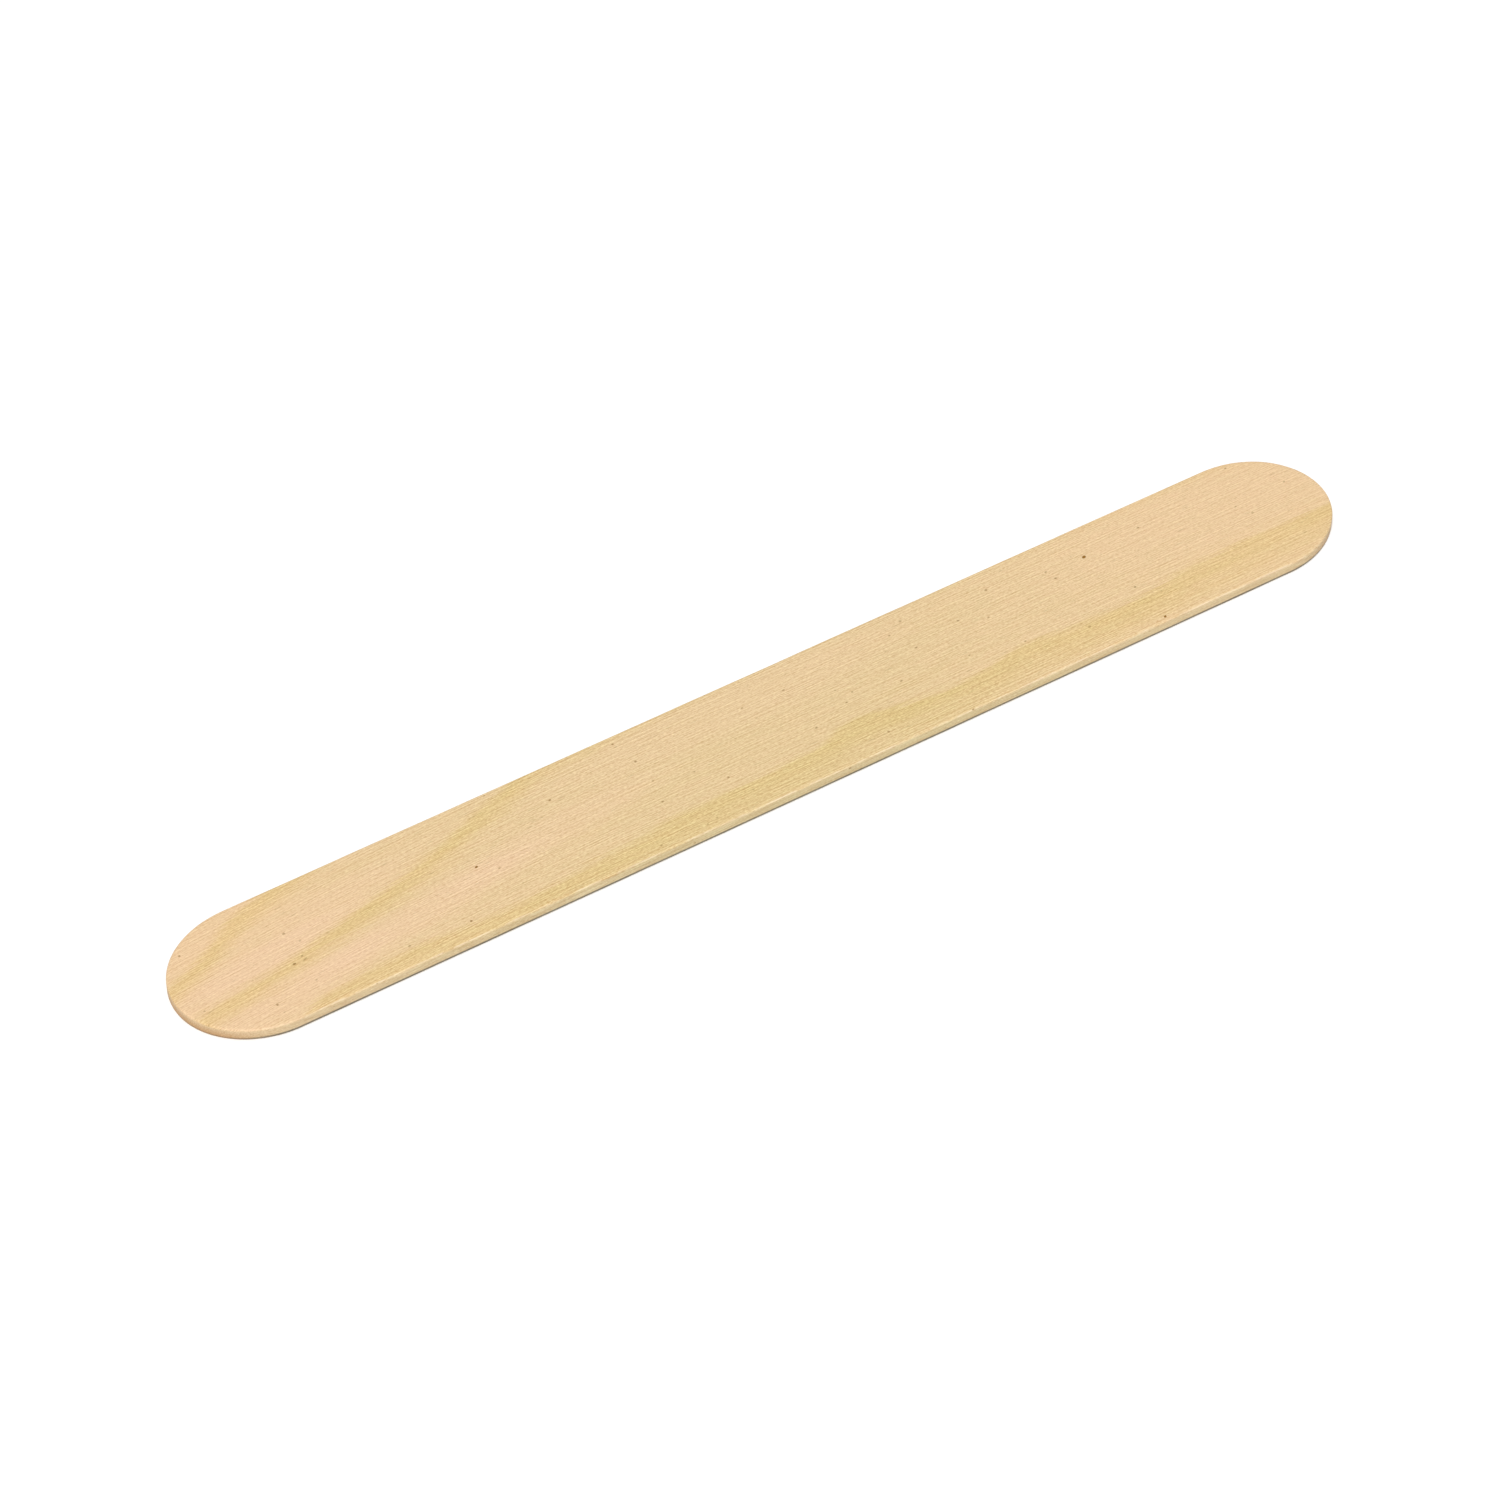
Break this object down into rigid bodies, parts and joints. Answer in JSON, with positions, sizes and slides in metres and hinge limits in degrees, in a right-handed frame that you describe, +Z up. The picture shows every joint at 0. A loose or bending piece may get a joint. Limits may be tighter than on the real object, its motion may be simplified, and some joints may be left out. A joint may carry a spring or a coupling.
{
  "type": "tongue depressor",
  "caption": "Flat wooden stick with parallel sides, long-rounded ends and eased edges, for holding the tongue down or for stirring and spreading.",
  "frame": {"origin": "centre of the stick's outline, on the lower face that it lies on", "axes": "+X along the stick to one rounded tip, +Y across its width, +Z up through its thickness"},
  "size_m": [0.15, 0.018, 0.0016],
  "materials": {
    "birch_veneer": "sliced veneer, tumbled smooth and left uncoated"
  },
  "bodies": {
    "root": {"blade": "birch_veneer"}
  },
  "joints": []
}
